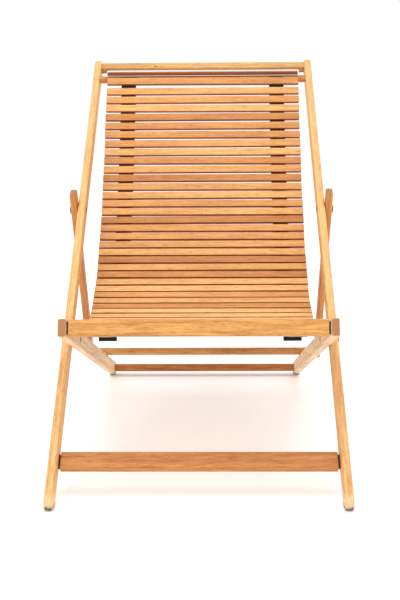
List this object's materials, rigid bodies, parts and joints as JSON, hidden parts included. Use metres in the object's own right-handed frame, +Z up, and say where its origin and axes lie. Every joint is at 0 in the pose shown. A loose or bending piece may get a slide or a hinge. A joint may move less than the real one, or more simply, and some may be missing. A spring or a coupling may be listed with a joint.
{
  "type": "folding deck chair",
  "caption": "Wooden folding deck chair: two crossing side frames, a rear prop that rests in notches, and a curved reclining seat of narrow slats on two webbing straps.",
  "frame": {"origin": "On the floor, in the middle of the footprint's box, with the chair open in its middle notch.", "axes": "+Z up, -Y the front where the sitter's legs are, +X to the left of someone sitting in it. The side frames lie in planes parallel to YZ."},
  "size_m": [0.6426, 1.0728, 0.9041],
  "materials": {
    "frame_wood": "oiled",
    "slat_wood": "oiled",
    "dowel_wood": "oiled",
    "webbing": "woven",
    "steel": "satin"
  },
  "bodies": {
    "back_frame": {"back_rail_right": "frame_wood", "back_rail_left": "frame_wood", "head_rail": "frame_wood", "sling_bar": "frame_wood", "lower_stretcher": "frame_wood", "back_tenon_pins": "dowel_wood", "seat_pivot_bolts": "steel", "seat_pivot_washers": "steel", "seat_pivot_nuts": "steel", "prop_pivot_bolts": "steel", "prop_pivot_washers": "steel", "prop_pivot_nuts": "steel", "mat_top_slats": "slat_wood", "mat_top_straps": "webbing", "sling_bar_tacks": "steel"},
    "seat_frame": {"seat_rail_right": "frame_wood", "seat_rail_left": "frame_wood", "seat_front_rail": "frame_wood", "seat_rear_stretcher": "frame_wood", "seat_tenon_pins": "dowel_wood", "mat_front_slats": "slat_wood", "mat_front_straps": "webbing", "front_rail_tacks": "steel"},
    "prop_frame": {"prop_strut_right": "frame_wood", "prop_strut_left": "frame_wood", "prop_bar": "frame_wood", "prop_tenon_pins": "dowel_wood"},
    "mat_link_01": {"mat_slats_01": "slat_wood", "mat_straps_01": "webbing"},
    "mat_link_02": {"mat_slats_02": "slat_wood", "mat_straps_02": "webbing"},
    "mat_link_03": {"mat_slats_03": "slat_wood", "mat_straps_03": "webbing"},
    "mat_link_04": {"mat_slats_04": "slat_wood", "mat_straps_04": "webbing"},
    "mat_link_05": {"mat_slats_05": "slat_wood", "mat_straps_05": "webbing"},
    "mat_link_06": {"mat_slats_06": "slat_wood", "mat_straps_06": "webbing"},
    "mat_link_07": {"mat_slats_07": "slat_wood", "mat_straps_07": "webbing"},
    "mat_link_08": {"mat_slats_08": "slat_wood", "mat_straps_08": "webbing"},
    "mat_link_09": {"mat_slats_09": "slat_wood", "mat_straps_09": "webbing"},
    "mat_link_10": {"mat_slats_10": "slat_wood", "mat_straps_10": "webbing"},
    "mat_link_11": {"mat_slats_11": "slat_wood", "mat_straps_11": "webbing"},
    "mat_link_12": {"mat_slats_12": "slat_wood", "mat_straps_12": "webbing"},
    "mat_link_13": {"mat_slats_13": "slat_wood", "mat_straps_13": "webbing", "mat_strap_tails": "webbing"},
    "mat_link_14": {"mat_slats_14": "slat_wood", "mat_straps_14": "webbing"}
  },
  "joints": [
    {"name": "fold", "type": "hinge", "parent": "back_frame", "child": "seat_frame", "pos_m": [0, -0.208, 0.2695], "axis": [1, 0, 0], "range_deg": [0, 56.5]},
    {"name": "prop", "type": "hinge", "parent": "back_frame", "child": "prop_frame", "pos_m": [0, 0.09585, 0.52718], "axis": [1, 0, 0], "range_deg": [0, 98.1]},
    {"name": "mat_01", "type": "hinge", "parent": "back_frame", "child": "mat_link_01", "pos_m": [0, 0.44092, 0.82824], "axis": [1, 0, 0], "range_deg": [-15, 0]},
    {"name": "mat_02", "type": "hinge", "parent": "mat_link_01", "child": "mat_link_02", "pos_m": [0, 0.40116, 0.75656], "axis": [1, 0, 0], "range_deg": [0, 6.3]},
    {"name": "mat_03", "type": "hinge", "parent": "mat_link_02", "child": "mat_link_03", "pos_m": [0, 0.36168, 0.68772], "axis": [1, 0, 0], "range_deg": [0, 10]},
    {"name": "mat_04", "type": "hinge", "parent": "mat_link_03", "child": "mat_link_04", "pos_m": [0, 0.32155, 0.62016], "axis": [1, 0, 0], "range_deg": [0, 6.3]},
    {"name": "mat_05", "type": "hinge", "parent": "mat_link_04", "child": "mat_link_05", "pos_m": [0, 0.27914, 0.55495], "axis": [1, 0, 0], "range_deg": [0, 6.3]},
    {"name": "mat_06", "type": "hinge", "parent": "mat_link_05", "child": "mat_link_06", "pos_m": [0, 0.23307, 0.49325], "axis": [1, 0, 0], "range_deg": [-6.3, 0]},
    {"name": "mat_07", "type": "hinge", "parent": "mat_link_06", "child": "mat_link_07", "pos_m": [0, 0.18323, 0.43558], "axis": [1, 0, 0], "range_deg": [-6.3, 0]},
    {"name": "mat_14", "type": "hinge", "parent": "seat_frame", "child": "mat_link_14", "pos_m": [0, -0.35056, 0.30696], "axis": [1, 0, 0], "range_deg": [-6.3, 0]},
    {"name": "mat_13", "type": "hinge", "parent": "mat_link_14", "child": "mat_link_13", "pos_m": [0, -0.27929, 0.29322], "axis": [1, 0, 0], "range_deg": [-6.3, 0]},
    {"name": "mat_12", "type": "hinge", "parent": "mat_link_13", "child": "mat_link_12", "pos_m": [0, -0.20854, 0.27695], "axis": [1, 0, 0], "range_deg": [-13.8, 0]},
    {"name": "mat_11", "type": "hinge", "parent": "mat_link_12", "child": "mat_link_11", "pos_m": [0, -0.1363, 0.27146], "axis": [1, 0, 0], "range_deg": [-20.2, 0]},
    {"name": "mat_10", "type": "hinge", "parent": "mat_link_11", "child": "mat_link_10", "pos_m": [0, -0.06435, 0.28057], "axis": [1, 0, 0], "range_deg": [-20.2, 0]},
    {"name": "mat_09", "type": "hinge", "parent": "mat_link_10", "child": "mat_link_09", "pos_m": [0, 0.00535, 0.30235], "axis": [1, 0, 0], "range_deg": [-7, 0]},
    {"name": "mat_08", "type": "hinge", "parent": "mat_link_09", "child": "mat_link_08", "pos_m": [0, 0.07055, 0.3369], "axis": [1, 0, 0], "range_deg": [0, 17.7]}
  ],
  "couplings": [
    {"joint": "prop", "follows": "fold", "ratio": 1.735},
    {"joint": "mat_01", "follows": "fold", "ratio": -0.2644},
    {"joint": "mat_02", "follows": "fold", "ratio": 0.1095},
    {"joint": "mat_03", "follows": "fold", "ratio": 0.1755},
    {"joint": "mat_04", "follows": "fold", "ratio": 0.1094},
    {"joint": "mat_05", "follows": "fold", "ratio": 0.1093},
    {"joint": "mat_06", "follows": "fold", "ratio": -0.1095},
    {"joint": "mat_07", "follows": "fold", "ratio": -0.1096},
    {"joint": "mat_14", "follows": "fold", "ratio": -0.1089},
    {"joint": "mat_13", "follows": "fold", "ratio": -0.1092},
    {"joint": "mat_12", "follows": "fold", "ratio": -0.2431},
    {"joint": "mat_11", "follows": "fold", "ratio": -0.3549},
    {"joint": "mat_10", "follows": "fold", "ratio": -0.3549},
    {"joint": "mat_09", "follows": "fold", "ratio": -0.1228},
    {"joint": "mat_08", "follows": "fold", "ratio": 0.3113}
  ]
}
